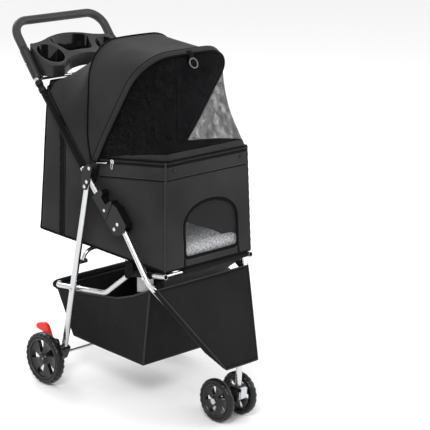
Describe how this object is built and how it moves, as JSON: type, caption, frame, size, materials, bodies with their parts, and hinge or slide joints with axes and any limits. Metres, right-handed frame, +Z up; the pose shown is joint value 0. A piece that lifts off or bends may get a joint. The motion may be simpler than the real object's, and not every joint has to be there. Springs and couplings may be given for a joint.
{
  "type": "pet stroller",
  "caption": "Folding pet stroller with a fabric cabin, arched hood, mesh front, handle with a cup tray, basket, braked rear wheels and a swivelling front caster.",
  "frame": {"origin": "on the floor under the middle of the bounding box", "axes": "+Z up, -Y the way the stroller rolls, +X to the right of someone pushing it from behind"},
  "size_m": [0.4648, 0.7999, 0.9818],
  "materials": {
    "frame_tube": "bright silver powder coat",
    "chrome_rod": "polished",
    "rivet_steel": "zinc plated",
    "black_plastic": "satin moulded",
    "tray_plastic": "glossy moulded",
    "grip_rubber": "soft foam grip",
    "tyre": "matt EVA with a scalloped tread",
    "red_plastic": "satin moulded",
    "grey_plastic": "satin moulded",
    "fabric": "woven polyester",
    "mesh": "open knitted mesh",
    "clear_window": "clear vinyl",
    "board": "covered board",
    "plush": "short grey pile"
  },
  "bodies": {
    "rear_frame": {"rear_leg_left": "frame_tube", "rear_leg_right": "frame_tube", "leg_brace": "frame_tube", "leg_rivets": "rivet_steel", "axle_block_left": "black_plastic", "axle_block_right": "black_plastic", "rear_axle": "chrome_rod"},
    "handle": {"handle_tube_left": "frame_tube", "handle_tube_right": "frame_tube", "grip_tube": "frame_tube", "grip_cover": "grip_rubber", "cup_tray": "tray_plastic", "tray_screws": "rivet_steel", "cross_rod": "chrome_rod", "tube_clips": "black_plastic", "bracket_left": "black_plastic", "bracket_right": "black_plastic", "bracket_rivets": "rivet_steel"},
    "fork": {"fork_tube": "frame_tube", "fork_stem": "frame_tube", "hinge_cap_left": "black_plastic", "hinge_cap_right": "black_plastic", "cap_rivets": "rivet_steel", "front_cover": "fabric"},
    "support": {"support_tube": "frame_tube", "front_cross_bar": "chrome_rod", "pivot_spacers": "black_plastic", "basket": "fabric", "rail_straps": "fabric"},
    "cabin": {"cabin_shell": "fabric", "window_pane": "clear_window", "floor_board": "board", "cushion_pad": "plush", "rim_snaps": "rivet_steel"},
    "rear_hoop": {"rear_bow": "chrome_rod", "canopy_rear": "fabric"},
    "front_hoop": {"front_bow": "chrome_rod", "canopy_hood": "fabric", "mesh_front": "mesh", "hook_ring": "chrome_rod"},
    "latch_l": {"latch_left": "black_plastic"},
    "latch_r": {"latch_right": "black_plastic"},
    "pedal_l": {"brake_pedal_left": "red_plastic"},
    "pedal_r": {"brake_pedal_right": "red_plastic"},
    "rear_wheel_l": {"rear_rim_left": "black_plastic", "rear_tyre_left": "tyre"},
    "rear_wheel_r": {"rear_rim_right": "black_plastic", "rear_tyre_right": "tyre"},
    "caster": {"caster_housing": "black_plastic", "caster_axle": "rivet_steel"},
    "lock_lever": {"caster_lock": "grey_plastic"},
    "front_wheel_l": {"front_rim_left": "black_plastic", "front_tyre_left": "tyre"},
    "front_wheel_r": {"front_rim_right": "black_plastic", "front_tyre_right": "tyre"},
    "zipper": {"zipper_pull": "black_plastic"}
  },
  "joints": [
    {"name": "handle_fold", "type": "hinge", "parent": "rear_frame", "child": "handle", "pos_m": [0, 0.04, 0.585], "axis": [-1, 0, 0], "range_deg": [0, 103], "deforming": ["cabin_shell", "window_pane", "cushion_pad", "rim_snaps", "zipper_pull"]},
    {"name": "support_fold", "type": "hinge", "parent": "rear_frame", "child": "support", "pos_m": [0, 0.09799, 0.28098], "axis": [-1, 0, 0], "range_deg": [0, 46.3], "deforming": ["basket"]},
    {"name": "fork_fold", "type": "hinge", "parent": "handle", "child": "fork", "pos_m": [0, -0.081, 0.495], "axis": [1, 0, 0], "range_deg": [0, 148]},
    {"name": "cabin_tilt", "type": "hinge", "parent": "support", "child": "cabin", "pos_m": [0, -0.254, 0.402], "axis": [-1, 0, 0], "range_deg": [0, 12.3]},
    {"name": "rear_bow_turn", "type": "hinge", "parent": "handle", "child": "rear_hoop", "pos_m": [0, 0.038, 0.635], "axis": [-1, 0, 0], "range_deg": [0, 27], "deforming": ["canopy_rear"]},
    {"name": "front_bow_turn", "type": "hinge", "parent": "rear_hoop", "child": "front_hoop", "pos_m": [0, 0.038, 0.635], "axis": [-1, 0, 0], "range_deg": [0, 31], "deforming": ["canopy_hood", "mesh_front"]},
    {"name": "caster_swivel", "type": "hinge", "parent": "fork", "child": "caster", "pos_m": [0, -0.377, 0.09], "axis": [0, 0, 1], "continuous": true},
    {"name": "caster_lock_turn", "type": "hinge", "parent": "caster", "child": "lock_lever", "pos_m": [0, -0.3945, 0.096], "axis": [-1, 0, 0], "range_deg": [0, 20]},
    {"name": "front_wheel_left_spin", "type": "hinge", "parent": "caster", "child": "front_wheel_l", "pos_m": [-0.0414, -0.3405, 0.0595], "axis": [1, 0, 0], "continuous": true},
    {"name": "front_wheel_right_spin", "type": "hinge", "parent": "caster", "child": "front_wheel_r", "pos_m": [0.0414, -0.3405, 0.0595], "axis": [1, 0, 0], "continuous": true},
    {"name": "rear_wheel_left_spin", "type": "hinge", "parent": "rear_frame", "child": "rear_wheel_l", "pos_m": [-0.2184, 0.1595, 0.0735], "axis": [1, 0, 0], "continuous": true},
    {"name": "rear_wheel_right_spin", "type": "hinge", "parent": "rear_frame", "child": "rear_wheel_r", "pos_m": [0.2184, 0.1595, 0.0735], "axis": [1, 0, 0], "continuous": true},
    {"name": "brake_left_turn", "type": "hinge", "parent": "rear_frame", "child": "pedal_l", "pos_m": [-0.1885, 0.1695, 0.1075], "axis": [-1, 0, 0], "range_deg": [0, 20]},
    {"name": "brake_right_turn", "type": "hinge", "parent": "rear_frame", "child": "pedal_r", "pos_m": [0.1885, 0.1695, 0.1075], "axis": [-1, 0, 0], "range_deg": [0, 20]},
    {"name": "latch_left_slide", "type": "slide", "parent": "handle", "child": "latch_l", "axis": [0, 0.7206, 0.6934], "range_m": [0, 0.022]},
    {"name": "latch_right_slide", "type": "slide", "parent": "handle", "child": "latch_r", "axis": [0, 0.7206, 0.6934], "range_m": [0, 0.022]},
    {"name": "zipper_slide", "type": "slide", "parent": "cabin", "child": "zipper", "axis": [0, -0.99, 0.1411], "range_m": [-0.04, 0.16]}
  ],
  "couplings": [
    {"joint": "support_fold", "follows": "handle_fold", "ratio": 0.44951},
    {"joint": "fork_fold", "follows": "handle_fold", "ratio": 1.4369},
    {"joint": "cabin_tilt", "follows": "handle_fold", "ratio": 0.11942},
    {"joint": "rear_bow_turn", "follows": "handle_fold", "ratio": 0.26214},
    {"joint": "front_bow_turn", "follows": "handle_fold", "ratio": 0.30097}
  ]
}
